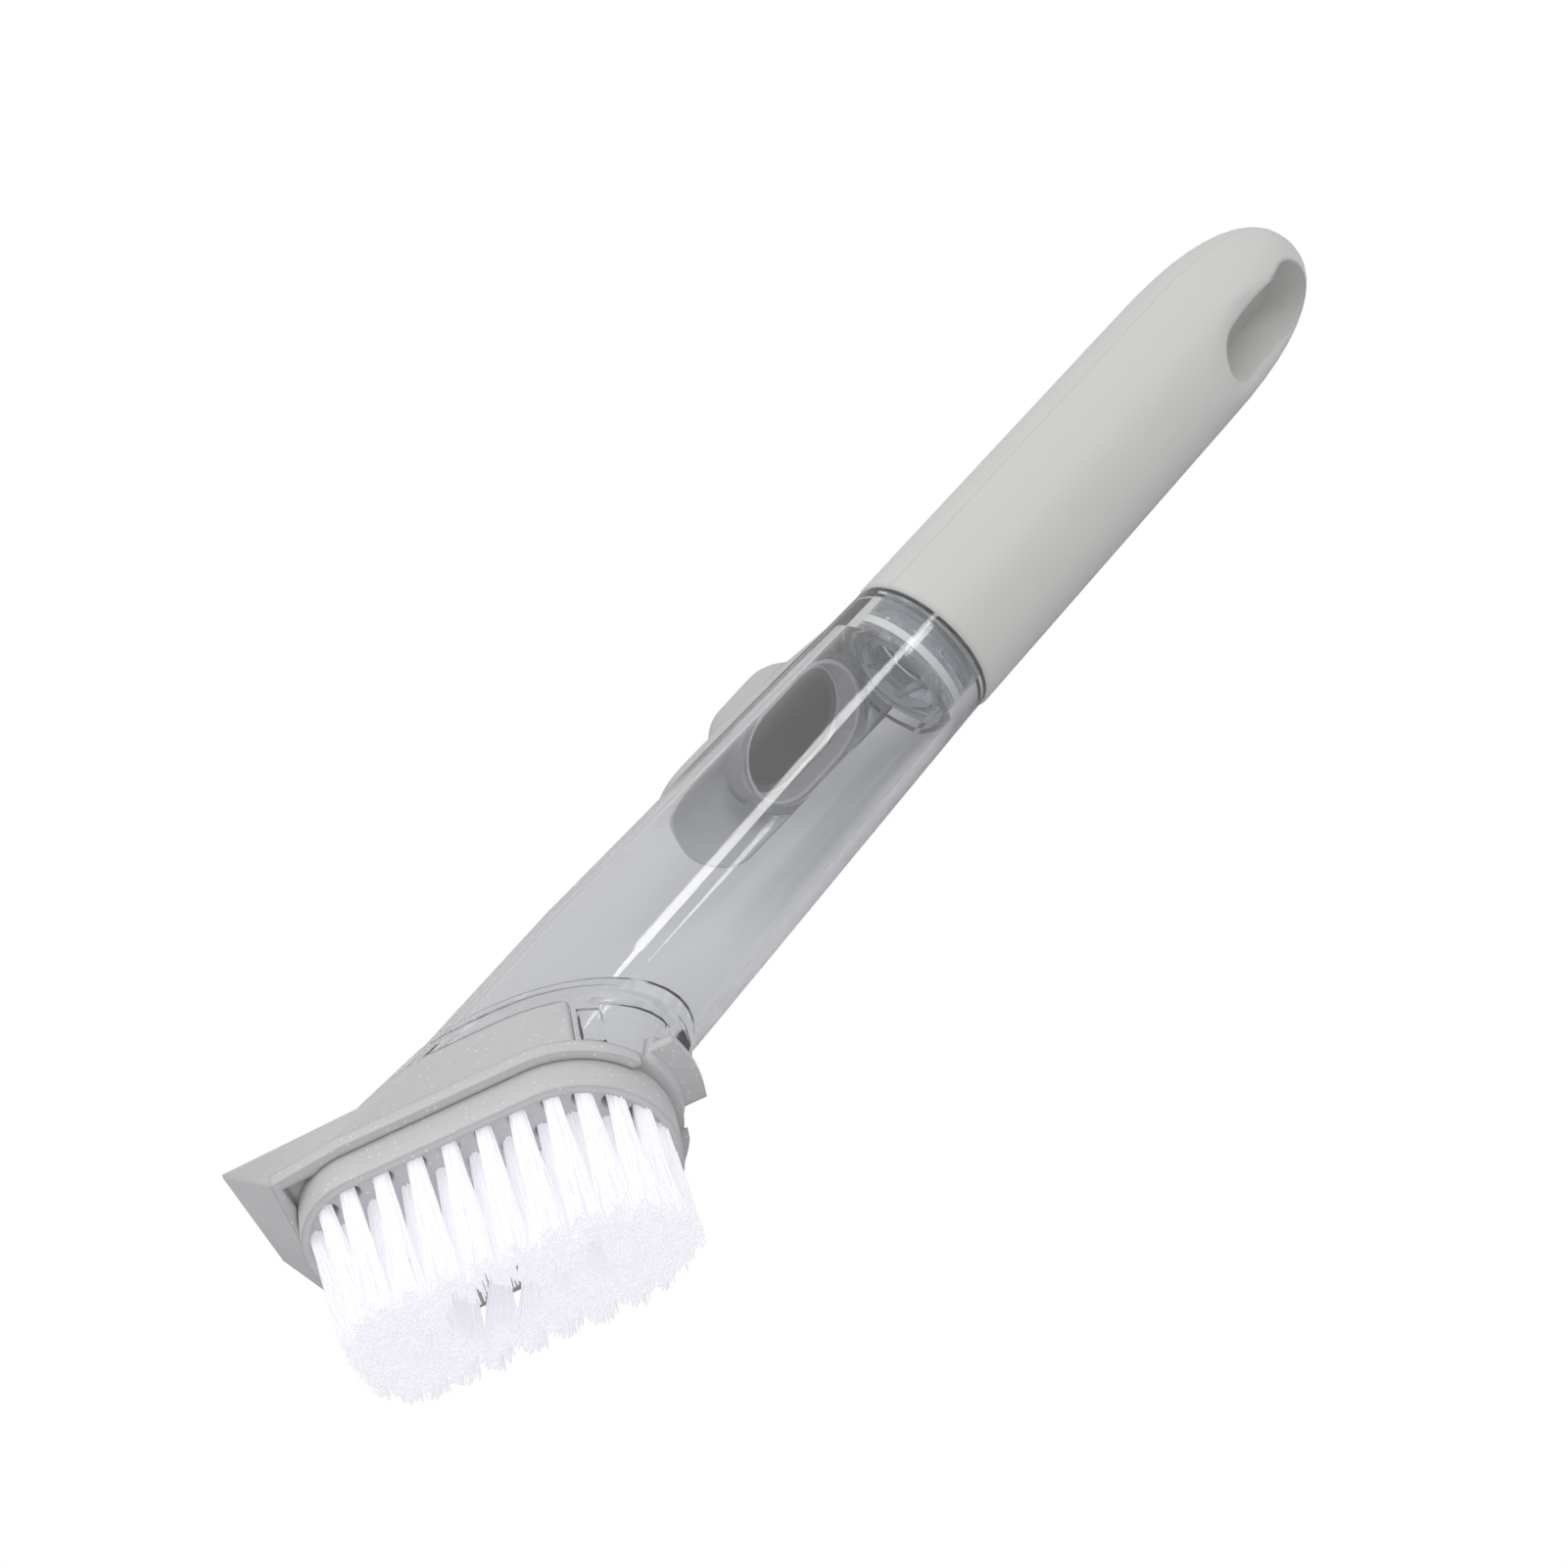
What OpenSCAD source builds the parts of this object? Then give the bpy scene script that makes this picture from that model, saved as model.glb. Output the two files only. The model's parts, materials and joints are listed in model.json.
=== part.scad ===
// Soap-dispensing dish wand: clear barrel, soft handle, push button and removable brush.
// It lies on its right side. The barrel lies along X with the handle towards +X, and the
// button faces +Y. The origin is the middle of the hang hole, on the barrel's axis.

/* [Barrel] */
// Length of the barrel's axis, from the bristle roots to the handle joint
barrel_len = 141; // [125:1:160]
// Outer radius at the handle joint
barrel_top_r = 13.4; // [13:0.1:14.5]
// Outer radius at the foot
barrel_foot_r = 16; // [15.5:0.1:17]
// Wall thickness of the clear barrel
barrel_wall = 2; // [1.6:0.1:2.4]
// Length of straight barrel below the taper, from the bristle roots
foot_run = 62; // [60:1:70]

/* [Handle] */
// Length of the handle behind the joint
grip_len = 104.5; // [90:0.5:120]
// Outer radius of the soft grip at its front edge
grip_front_r = 13.8; // [13.6:0.1:15]
// Outer radius of the soft grip before the rounded end
grip_rear_r = 13.3; // [12.5:0.1:14.5]
// Length of the rounded end
grip_nose = 34; // [28:1:38]
// Thickness of the soft layer
grip_wall = 2.3; // [1.8:0.1:2.6]
// Length of the hang hole
hang_len = 26; // [20:0.5:28]
// Width of the hang hole
hang_w = 10.8; // [9:0.2:12]
// Soft material left behind the hang hole
hang_end = 5; // [4.5:0.5:8]
// Half height of the flat scoops round the hang hole
scoop_z = 10; // [9.6:0.1:11.5]
// Radius of the scoops along the handle
scoop_r = 42; // [34:1:60]

/* [Neck] */
// Radius of the bore in the barrel's neck
neck_bore_r = 10.3; // [9.8:0.1:10.8]
// Length of the thick neck inside the barrel
neck_len = 9; // [8:0.5:11]
// Radial running clearance of the plug in the neck
neck_fit = 0.05; // [0.02:0.01:0.1]
// Depth of the thread space on the plug
thread_depth = 1; // [0.8:0.1:1.3]
// Width of the sealing lands on the plug
land_w = 1.1; // [0.9:0.1:1.4]
// Thickness of the sealing ring
seal_w = 1.6; // [1.4:0.1:1.8]

/* [Button] */
// Straight run between the two round ends of the button opening
button_run = 8; // [6:0.5:10]
// Radius of the round ends of the opening
opening_r = 9.9; // [9.6:0.1:10.2]
// Wall of the clear collar round the opening
collar_wall = 1.3; // [1:0.1:1.5]
// Depth of the collar below the barrel's top line
collar_depth = 6.5; // [5:0.5:8]
// Distance from the middle of the button to the panel's front end
panel_front = 27; // [23:0.5:30]
// Radius of the panel's front corners
panel_corner_r = 7.5; // [5:0.5:10]
// Half width of the soft panel
panel_half_w = 11.3; // [11:0.1:12]
// Thickness of the soft panel
panel_t = 1.3; // [1:0.1:1.6]
// Height of the button dome above the barrel's top line
dome_rise = 10.5; // [7:0.5:11]

/* [Head] */
// Angle between the barrel's axis and the bristle plate
head_angle = 37.4; // [35:0.2:40]
// Half width of the brush plate
plate_half_w = 16.8; // [16:0.1:17.5]
// Corner radius of the brush plate's toe
toe_corner_r = 12.6; // [11:0.1:14]
// Centre of the toe corners, along the plate
toe_h = 4.8; // [3:0.1:6]
// Distance from the toe corners to the middle of the round heel
plate_run = 30.9; // [28:0.1:34]
// Thickness of the brush plate behind the bristle roots
plate_t = 6; // [5.4:0.1:6.6]
// Height of the rim round the bristle face
rim_h = 1.3; // [0.8:0.1:1.8]
// Clearance round the brush plate
plate_fit = 0.15; // [0.1:0.01:0.25]
// Reach of the head base's lip past the brush plate, on each side
lip_reach = 1.7; // [1.6:0.1:2.2]
// Length of the lip's straight sides ahead of the plate's toe corners
lip_toe_reach = 12.2; // [11.5:0.1:14]
// How much narrower the lip is at its toe corners, on each side
lip_toe_in = 1.4; // [1:0.1:2]
// Distance from the lip's edge to the wall above it
lip_inset = 0.5; // [0.3:0.1:1]
// Lower edge of the lip above the bristle roots
lip_low = 5; // [4.4:0.1:5.4]
// Height of the lip bead
lip_t = 2.7; // [2:0.1:3]
// Wall thickness of the head base
base_wall = 1.4; // [1.2:0.1:1.6]
// Clearance between the head base and the barrel's foot
foot_fit = 0.15; // [0.1:0.01:0.2]
// Height of the head base's upper edge above the bristle roots
wall_top = 19; // [18:0.5:20]
// Height of the step where the barrel meets its foot
step_n = 24.5; // [23.5:0.5:26]
// Width of that step
step_out = 0.4; // [0.3:0.1:0.8]
// Length of the scraper toe ahead of the plate's toe corners
toe_reach = 23; // [20:0.5:25]
// Height of the scraper's blade above the bristle roots
blade_n = 22.1; // [21:0.1:23]
// Half width of the scraper's blade
blade_half_w = 10.1; // [8:0.1:12]
// Thickness of the scraper's blade edge
blade_t = 0.8; // [0.6:0.1:1.2]
// Half width of the thumb hood at the heel
hood_half_w = 6.3; // [5:0.1:7]
// Reach of the thumb hood past the plate's round heel
hood_reach = 5.3; // [4:0.1:6.5]
// Thickness of the thumb hood
hood_t = 2; // [1.6:0.1:2.4]
// Width of the gap in the lip on each side of the hood
hood_gap = 2.2; // [1:0.1:2.5]
// Distance from the middle of the round heel to the barrel's window
window_back = 8.4; // [7.5:0.1:10]

/* [Outlet] */
// Where the soap outlet sits along the plate
outlet_h = 19; // [17:0.5:21]
// Radius of the outlet passage in the head base
outlet_r = 3; // [2.6:0.1:3.4]
// Radius of the round valve
valve_r = 5.6; // [5.2:0.1:6]
// Thickness of the valve's flange
valve_t = 1.2; // [1:0.1:1.5]

/* [Bristles] */
// Distance between tufts along a straight row
tuft_pitch = 5.6; // [5.3:0.1:6]
// Radius of a tuft's hole
tuft_r = 1.4; // [1.2:0.05:1.5]
// Radius of a tuft at its tip
tip_r = 2.15; // [1.8:0.05:2.25]
// Free length of the bristles
tuft_len = 22.5; // [18:0.5:26]
// Depth of the tuft holes
hole_depth = 4.2; // [3.6:0.1:4.8]
// Distance from the plate's edge to the outer tufts
tuft_inset = 3.3; // [3:0.1:3.6]
// Distance between the rings of tufts
ring_gap = 4.6; // [4.4:0.1:4.8]
// Room kept free of bristles round the soap outlet, along the plate
outlet_room = 8.6; // [8:0.1:9.5]
// Distance between the outer tufts round the heel
heel_pitch = 4.74; // [4.5:0.02:5.2]
// Distance between the middle tufts round the heel
middle_heel_pitch = 5.2; // [4.8:0.1:5.6]
// Outward lean of the outer tufts, in degrees
lean = 0.5; // [0:0.5:4]

/* [Hidden] */
$fn = 64;
hull_fn = 40;
eps = 0.01;
skin = 0.1;
big = 200;

// Places along the barrel's axis, from the bristle roots
hang_x = barrel_len + grip_len - hang_end - hang_len / 2;
handle_end = barrel_len + grip_len;
core_r = grip_rear_r - grip_wall;
core_end = handle_end - hang_end;
plug_r = neck_bore_r - neck_fit;
plug_front = barrel_len - neck_len + collar_wall;
seal_x = plug_front + land_w;
thread_x = seal_x + seal_w + land_w;

// Places in the plate's frame: along the plate, across it and above the bristle roots
heel_h = toe_h + plate_run;
corner_y = plate_half_w - toe_corner_r;
skirt_grow = lip_reach - lip_inset;
lip_half_w = plate_half_w + lip_reach;
lip_high = lip_low + lip_t;
step_h = step_n / tan(head_angle);
foot_r = barrel_foot_r + step_out;
oval_a = foot_r / sin(head_angle);
brim_h = wall_top / tan(head_angle) + 0.6;
brim_a = oval_a + 3.6;
brim_out = 0.25;
plate_back = plate_t;
socket_roof = plate_back + 0.2;
channel_n = socket_roof + 1.8;
gasket_t = 1;
foot_n = channel_n + gasket_t;
floor_t = 2;
floor_n = plate_back + 4.7;
upstand_top = floor_n + floor_t;
boot_in = base_wall + foot_fit;
boot_inner = boot_in + barrel_wall;
upstand_grow = -3.3;
upstand_wall = 1.8;
deck_back = 6;
valve_low = floor_n - 1.4;
rib_grow = upstand_grow - upstand_wall - 0.3;
rib_wall = 1.6;
rib_top = floor_n - 0.4;
lip_toe_h = toe_h - lip_toe_reach;
lip_toe_w = lip_half_w - lip_toe_in;
lip_front_h = toe_h - toe_corner_r - base_wall;
toe_hollow_w = lip_toe_w / 2;
pocket_half_w = hood_half_w + hood_gap;
hood_n = floor_n - 0.9;
window_h = heel_h + window_back;

// Places round the button
button_x = barrel_len - neck_len - 0.4 - opening_r - button_run / 2;
panel_x0 = button_x - panel_front;
panel_corner_x = panel_x0 + panel_corner_r;
panel_corner_y = panel_half_w - panel_corner_r;
panel_x1 = barrel_len - 0.3;
skirt_z = barrel_r(button_x) - collar_depth + 0.5;
button_top_z = barrel_r(button_x);
skirt_r = opening_r - 0.15;
skirt_wall = 0.8;
web_out = skirt_r - skirt_wall - 0.1;
web_w = 0.6;
dome_r = web_out - web_w - 0.1;
dome_base = button_top_z - 1.4;
dome_wall = 1.2;
web_t = 0.8;

// Outer radius of the barrel at x
function barrel_r(x) = x < foot_run ? barrel_foot_r
    : barrel_foot_r + (barrel_top_r - barrel_foot_r) * (x - foot_run) / (barrel_len - foot_run);

// Frames: the barrel's own has the button up, and the head's has the bristles pointing down
module axis_frame() translate([-hang_x, 0, 0]) rotate([-90, 0, 0]) children();
module head_frame() axis_frame() rotate([0, head_angle, 0]) children();
module lathe(points) rotate([0, 90, 0]) rotate_extrude() polygon(points);
module along_x(r, x0, x1) translate([x0, 0, 0]) rotate([0, 90, 0]) cylinder(r = r, h = x1 - x0);

// Flat shapes
module plate_outline(grow, back) {
    translate([heel_h, 0]) circle(r = plate_half_w + grow);
    translate([back, 0]) {
        for (side = [-1, 1])
            translate([toe_h, side * corner_y]) circle(r = toe_corner_r + grow);
        translate([toe_h - toe_corner_r - grow, -corner_y]) square([toe_corner_r + grow, 2 * corner_y]);
        translate([toe_h, -plate_half_w - grow]) square([plate_run - back, 2 * (plate_half_w + grow)]);
    }
}
module plate_slab(grow, n0, n1, back = 0) translate([0, 0, n0]) linear_extrude(n1 - n0)
    plate_outline(grow, back);
module plate_ring(grow, wall, n0, n1, back) difference() {
    plate_slab(grow, n0, n1, back);
    plate_slab(grow - wall, n0 - 1, n1 + 1, back);
}
module button_slot(r, z0, z1) translate([button_x, 0, z0]) {
    for (side = [-1, 1])
        translate([side * button_run / 2, 0, 0]) cylinder(r = r, h = z1 - z0);
    translate([-button_run / 2, -r, 0]) cube([button_run, 2 * r, z1 - z0]);
}
module slab_above(n) translate([-big, -big, n]) cube(2 * big);
module slab_below(n) translate([-big, -big, n - 2 * big]) cube(2 * big);

// Form of the head between the lip and the barrel's step, shrunk by inset
module foot_form(inset) hull() {
    translate([0, 0, lip_high - skin]) linear_extrude(skin) offset_outline(skirt_grow - inset);
    oval_disc(brim_h, wall_top, brim_a - inset, foot_r + brim_out - inset);
    oval_disc(step_h, step_n, oval_a - inset, foot_r - inset);
}
module oval_disc(h, n, a, b) translate([h, 0, n - skin]) linear_extrude(skin)
    scale([a / b, 1]) circle(r = b, $fn = hull_fn);
module offset_outline(grow) {
    translate([heel_h, 0]) circle(r = plate_half_w + grow, $fn = hull_fn);
    for (side = [-1, 1])
        translate([toe_h, side * corner_y]) circle(r = toe_corner_r + grow, $fn = hull_fn);
}

// Barrel
module taper(inset, x0, x1) lathe([
    [0, x0], [barrel_foot_r - inset, x0], [barrel_foot_r - inset, foot_run],
    [barrel_r(x1) - inset, x1], [0, x1]
]);
module barrel_shell() {
    difference() {
        axis_frame() taper(0, 0, barrel_len);
        head_frame() slab_below(step_n - 1);
        axis_frame() taper(barrel_wall, -1, barrel_len - neck_len);
        axis_frame() along_x(neck_bore_r, barrel_len - neck_len - 1, barrel_len + 1);
    }
}
module barrel_boot() head_frame() difference() {
    union() {
        intersection() {
            foot_form(0);
            slab_above(wall_top + foot_fit);
        }
        intersection() {
            foot_form(boot_in);
            slab_above(foot_n);
        }
    }
    foot_form(boot_inner);
    slab_above(step_n - 0.3);
}
module snap_tabs() head_frame() intersection() {
    for (side = [-1, 1])
        translate([window_h + 1, side * (plate_half_w - 3) - 3, foot_n + 0.5]) cube([3.2, 6, 7.5]);
    difference() {
        foot_form(0.5);
        foot_form(boot_in + 0.5);
    }
}
module barrel() {
    color([0.86, 0.88, 0.9, 0.45]) union() {
        difference() {
            union() {
                barrel_shell();
                axis_frame() intersection() {
                    button_slot(opening_r + collar_wall, button_top_z - collar_depth, big);
                    taper(0.5, 0, barrel_len - 1);
                }
            }
            axis_frame() button_slot(opening_r, button_top_z - collar_depth - 1, big);
        }
        barrel_boot();
        snap_tabs();
    }
}

// Button
module button_panel() color([0.62, 0.62, 0.63]) axis_frame() {
    difference() {
        intersection() {
            union() {
                for (side = [-1, 1])
                    translate([panel_corner_x, side * panel_corner_y, 0])
                        cylinder(r = panel_corner_r, h = big);
                translate([panel_x0, -panel_corner_y, 0]) cube([panel_corner_r, 2 * panel_corner_y, big]);
                translate([panel_corner_x, -panel_half_w, 0])
                    cube([panel_x1 - panel_corner_x, 2 * panel_half_w, big]);
            }
            taper(-panel_t, 0, barrel_len + 1);
        }
        difference() {
            taper(-0.05, -1, barrel_len + 2);
            button_slot(skirt_r, skirt_z, big);
        }
        button_slot(skirt_r - skirt_wall, 0, big);
    }
}
module button_web() color([0.55, 0.55, 0.56]) axis_frame() difference() {
    button_slot(web_out, dome_base, dome_base + web_t);
    button_slot(web_out - web_w, dome_base - 1, dome_base + web_t + 1);
}
function dome_curve(r, rise) = [for (a = [0:10:90]) [r * cos(a), rise * sin(a)]];
module dome_solid(r, rise) {
    profile = concat([[0, 0]], dome_curve(r, rise));
    for (side = [-1, 1])
        translate([side * button_run / 2, 0, 0]) rotate_extrude() polygon(profile);
    translate([-button_run / 2, 0, 0]) rotate([90, 0, 90]) linear_extrude(button_run)
        polygon(concat(dome_curve(r, rise), [for (a = [80:-10:0]) [-r * cos(a), rise * sin(a)]]));
}
module button_dome() color([0.6, 0.6, 0.61]) axis_frame() translate([button_x, 0, dome_base]) difference() {
    dome_solid(dome_r, dome_rise + button_top_z - dome_base);
    translate([0, 0, -eps])
        dome_solid(dome_r - dome_wall, dome_rise + button_top_z - dome_base - dome_wall);
}

// Handle
// Superellipse, fuller than an ellipse
function fuller(v) = pow(v, 0.8);
function nose_curve(r, x1, run) = [
    for (a = [90:-7.5:0]) [r * fuller(sin(a)), x1 - run + run * fuller(cos(a))]
];
module scoops(grow) for (side = [-1, 1])
    translate([hang_x, 0, side * (scoop_z + scoop_r)]) rotate([90, 0, 0])
        cylinder(r = scoop_r + grow, h = big, center = true, $fn = 120);
module grip() color([0.78, 0.78, 0.77]) axis_frame() difference() {
    lathe(concat(
        [[0, barrel_len], [grip_front_r - 0.5, barrel_len], [grip_front_r, barrel_len + 0.5]],
        nose_curve(grip_rear_r, handle_end, grip_nose)
    ));
    difference() {
        core_form(barrel_len - 1);
        hang_slot(hang_w / 2 + grip_wall);
        scoops(grip_wall);
    }
    hang_slot(hang_w / 2);
    scoops(0);
}
module core_form(x0) lathe(concat(
    [[0, x0], [core_r, x0]],
    nose_curve(core_r, core_end, grip_nose - grip_wall)
));
module hang_slot(r) {
    for (x = [-1, 1])
        translate([hang_x + x * (hang_len - hang_w) / 2, 0, -big / 2]) cylinder(r = r, h = big);
    translate([hang_x - (hang_len - hang_w) / 2, -r, -big / 2]) cube([hang_len - hang_w, 2 * r, big]);
}
module handle_core() color([0.8, 0.8, 0.8]) axis_frame() difference() {
    union() {
        core_form(barrel_len + 0.1);
        along_x(plug_r, plug_front, barrel_len + 1);
    }
    hang_slot(hang_w / 2 + grip_wall);
    scoops(grip_wall);
    difference() {
        along_x(plug_r + 1, thread_x, barrel_len);
        along_x(plug_r - thread_depth, thread_x - 1, barrel_len + 1);
    }
    difference() {
        along_x(plug_r + 1, seal_x, seal_x + seal_w);
        along_x(plug_r - seal_w / 2 - 0.2, seal_x - 1, seal_x + seal_w + 1);
    }
    along_x(plug_r - thread_depth - 2, plug_front + 2, hang_x - hang_len / 2 - 6);
}
module neck_seal_ring() color([0.25, 0.25, 0.27]) axis_frame() difference() {
    along_x(plug_r, seal_x + 0.05, seal_x + seal_w - 0.05);
    along_x(plug_r - seal_w / 2 - 0.15, seal_x - 1, seal_x + seal_w + 1);
}

// Head base
module lip_outline(inset) {
    translate([heel_h, 0]) circle(r = lip_half_w - inset);
    polygon([
        [heel_h, -lip_half_w + inset], [heel_h, lip_half_w - inset], [toe_h, lip_half_w - inset],
        [lip_toe_h + inset, lip_toe_w - inset], [lip_front_h + inset, 0],
        [lip_toe_h + inset, -lip_toe_w + inset], [toe_h, -lip_half_w + inset]
    ]);
}
module toe_form() hull() {
    translate([toe_h - toe_reach, -blade_half_w, blade_n - blade_t]) cube([skin, 2 * blade_half_w, blade_t]);
    translate([0, 0, lip_low]) linear_extrude(lip_t - skin) intersection() {
        lip_outline(lip_inset);
        translate([-big, -big / 2]) square([big + toe_h, big]);
    }
    intersection() {
        foot_form(0);
        translate([toe_h - 2, -big / 2, 0]) cube([4, big, wall_top]);
    }
}
module toe_hollow() for (side = [-1, 1]) {
    translate([lip_toe_h + base_wall, side * (lip_toe_w - base_wall) - (side > 0 ? toe_hollow_w : 0), -1])
        cube([toe_corner_r, toe_hollow_w, channel_n - base_wall + 1]);
}
module base_outer() {
    difference() {
        foot_form(0);
        slab_above(wall_top);
    }
    translate([0, 0, lip_low]) linear_extrude(lip_t) lip_outline(0);
    toe_form();
}
module heel_cut() {
    translate([window_h, -big / 2, upstand_top + 0.6]) cube([big / 2, big, wall_top]);
    for (side = [-1, 1])
        translate([window_h, side > 0 ? hood_half_w : -hood_half_w - big / 2, channel_n])
            cube([big / 2, big / 2, wall_top]);
    difference() {
        translate([window_h + base_wall, -pocket_half_w, -1]) cube([big / 2, 2 * pocket_half_w, hood_n + 1]);
        foot_form(0);
    }
}
module hood() intersection() {
    translate([heel_h, 0, hood_n]) cylinder(r = plate_half_w + hood_reach, h = hood_t);
    translate([window_h, -hood_half_w, 0]) cube([big / 2, 2 * hood_half_w, big / 4]);
}
module head_base() color([0.66, 0.66, 0.67]) head_frame() difference() {
    union() {
        difference() {
            union() {
                base_outer();
                hood();
            }
            intersection() {
                foot_form(base_wall);
                slab_above(channel_n);
            }
            heel_cut();
            intersection() {
                foot_form(-foot_fit);
                slab_above(wall_top);
            }
        }
        plate_slab(upstand_grow, socket_roof, upstand_top, deck_back);
    }
    plate_slab(plate_fit, -big / 2, socket_roof);
    plate_slab(upstand_grow - upstand_wall, socket_roof - 1, floor_n, deck_back);
    toe_hollow();
    translate([outlet_h, 0, 0]) {
        cylinder(r = outlet_r, h = big / 2);
        translate([0, 0, upstand_top - valve_t - eps]) cylinder(r = valve_r + 0.1, h = big / 2);
    }
}

// Seals and valve
module foot_gasket() color([0.3, 0.3, 0.32]) head_frame() difference() {
    foot_form(boot_in + 0.1);
    foot_form(boot_inner - 0.1);
    slab_below(channel_n);
    slab_above(foot_n);
}
module outlet_valve() color([0.9, 0.9, 0.88]) head_frame() translate([outlet_h, 0, 0])
difference() {
    union() {
        translate([0, 0, upstand_top - valve_t]) cylinder(r = valve_r, h = valve_t);
        translate([0, 0, valve_low]) cylinder(r = outlet_r - 0.1, h = upstand_top - valve_t - valve_low + eps);
    }
    translate([0, 0, floor_n - 0.8]) cylinder(r = outlet_r - 0.8, h = big / 4);
    translate([-outlet_r + 1.2, -0.1, floor_n - 2]) cube([2 * outlet_r - 2.4, 0.2, 2]);
}
module valve_retainer() color([0.55, 0.56, 0.58]) head_frame() translate([outlet_h, 0, upstand_top])
    difference() {
        cylinder(r = valve_r + 1.6, h = 1.6);
        translate([0, 0, -1]) cylinder(r = outlet_r - 0.4, h = 4);
    }

// Tuft places, one list for each stretch of a ring
function side_row(count, first, y) = [for (i = [0:count - 1]) [first + i * tuft_pitch, y, 0]];
function heel_arc(r, step, count) = [
    for (i = [-(count - 1) / 2:(count - 1) / 2]) [heel_h + r * cos(i * step), r * sin(i * step), i * step]
];
outer_y = plate_half_w - tuft_inset;
middle_y = outer_y - ring_gap;
inner_y = middle_y - ring_gap;
row_start = toe_h - 0.5;
outer_step = 2 * asin(heel_pitch / 2 / outer_y);
middle_step = 2 * asin(middle_heel_pitch / 2 / middle_y);
toe_ring_r = toe_corner_r - tuft_inset;
outer_left = side_row(7, row_start, -outer_y);
outer_right = side_row(7, row_start, outer_y);
outer_heel = heel_arc(outer_y, outer_step, 7);
outer_toe = [
    for (side = [-1, 1], a = [33, 66])
        [toe_h - toe_ring_r * sin(a), side * (corner_y + toe_ring_r * cos(a)), 0],
    for (side = [-1, 1]) [toe_h - toe_ring_r, side * tuft_pitch / 2 * 0.95, 0]
];
middle_left = side_row(6, row_start + 2.4, -middle_y);
middle_right = side_row(6, row_start + 2.4, middle_y);
middle_heel = heel_arc(middle_y, middle_step, 5);
middle_toe = [
    for (side = [-1, 1]) [toe_h - 3.4, side * (middle_y - 1.6), 0],
    for (side = [-1, 1]) [toe_h - toe_ring_r + ring_gap, side * 2.4, 0]
];
inner_first = outlet_h - outlet_room;
inner_left = [for (i = [0, 3, 4]) [inner_first + i * tuft_pitch, -inner_y, 0]];
inner_right = [for (p = inner_left) [p[0], inner_y, 0]];
inner_ends = [[toe_h + 0.7, 0, 0], [heel_h + inner_y - 0.8, 0, 0]];
all_tufts = concat(
    outer_left, outer_right, outer_heel, outer_toe,
    middle_left, middle_right, middle_heel, middle_toe,
    inner_left, inner_right, inner_ends
);

// Outward lean grows from the middle of the plate to its edge
function tilt_x(p) = lean * (p[0] - outlet_h) / (heel_h + outer_y - outlet_h);
function tilt_y(p) = lean * p[1] / outer_y;
module at_tuft(p) translate([p[0], p[1], 0]) rotate([tilt_y(p), -tilt_x(p), 0]) children();
module tuft() {
    translate([0, 0, -tuft_len]) cylinder(r1 = tip_r, r2 = tuft_r, h = tuft_len);
    translate([0, 0, -eps]) cylinder(r = tuft_r, h = hole_depth - 0.6 + eps);
}
module tufts(places) color([0.95, 0.95, 0.96]) head_frame() for (p = places) at_tuft(p) tuft();

// Brush plate
module brush_plate() color([0.68, 0.68, 0.69]) head_frame() difference() {
    union() {
        plate_slab(0, -rim_h, plate_back);
        plate_ring(rib_grow, rib_wall, plate_back - eps, rib_top, deck_back);
    }
    plate_slab(-1.4, -rim_h - 1, 0);
    translate([outlet_h, 0, -5]) cylinder(r = outlet_r + 0.6, h = big / 4);
    for (p = all_tufts) at_tuft(p) translate([0, 0, -1]) cylinder(r = tuft_r + 0.02, h = hole_depth + 1);
}
module tuft_staples() color([0.8, 0.75, 0.55]) head_frame() for (p = all_tufts) at_tuft(p)
    translate([-tuft_r + 0.1, -0.2, hole_depth - 0.55]) cube([2 * tuft_r - 0.2, 0.4, 0.5]);

barrel();
button_panel();
button_web();
button_dome();
grip();
handle_core();
neck_seal_ring();
head_base();
foot_gasket();
outlet_valve();
valve_retainer();
brush_plate();
tuft_staples();
tufts(outer_left);  // outer_tufts_left
tufts(outer_right);  // outer_tufts_right
tufts(outer_heel);  // outer_tufts_heel
tufts(outer_toe);  // outer_tufts_toe
tufts(middle_left);  // middle_tufts_left
tufts(middle_right);  // middle_tufts_right
tufts(middle_heel);  // middle_tufts_heel
tufts(middle_toe);  // middle_tufts_toe
tufts(inner_left);  // inner_tufts_left
tufts(inner_right);  // inner_tufts_right
tufts(inner_ends);  // inner_tufts_ends
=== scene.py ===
"""Looks of a soap-dispensing dish wand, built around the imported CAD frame.

The wand lies on its right side. Lengths are metres, apart from names that end in mm and from the
two frames of this script, which are millimetres. The barrel frame has x along the barrel, y across
it and z towards the button. The head frame has h along the bristle plate, y across it and n away
from the bristles.
"""

from __future__ import annotations

import json
import logging
import math
from dataclasses import dataclass
from enum import Enum
from typing import Sequence

import bmesh
import bpy
from mathutils import Matrix, Vector

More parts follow.
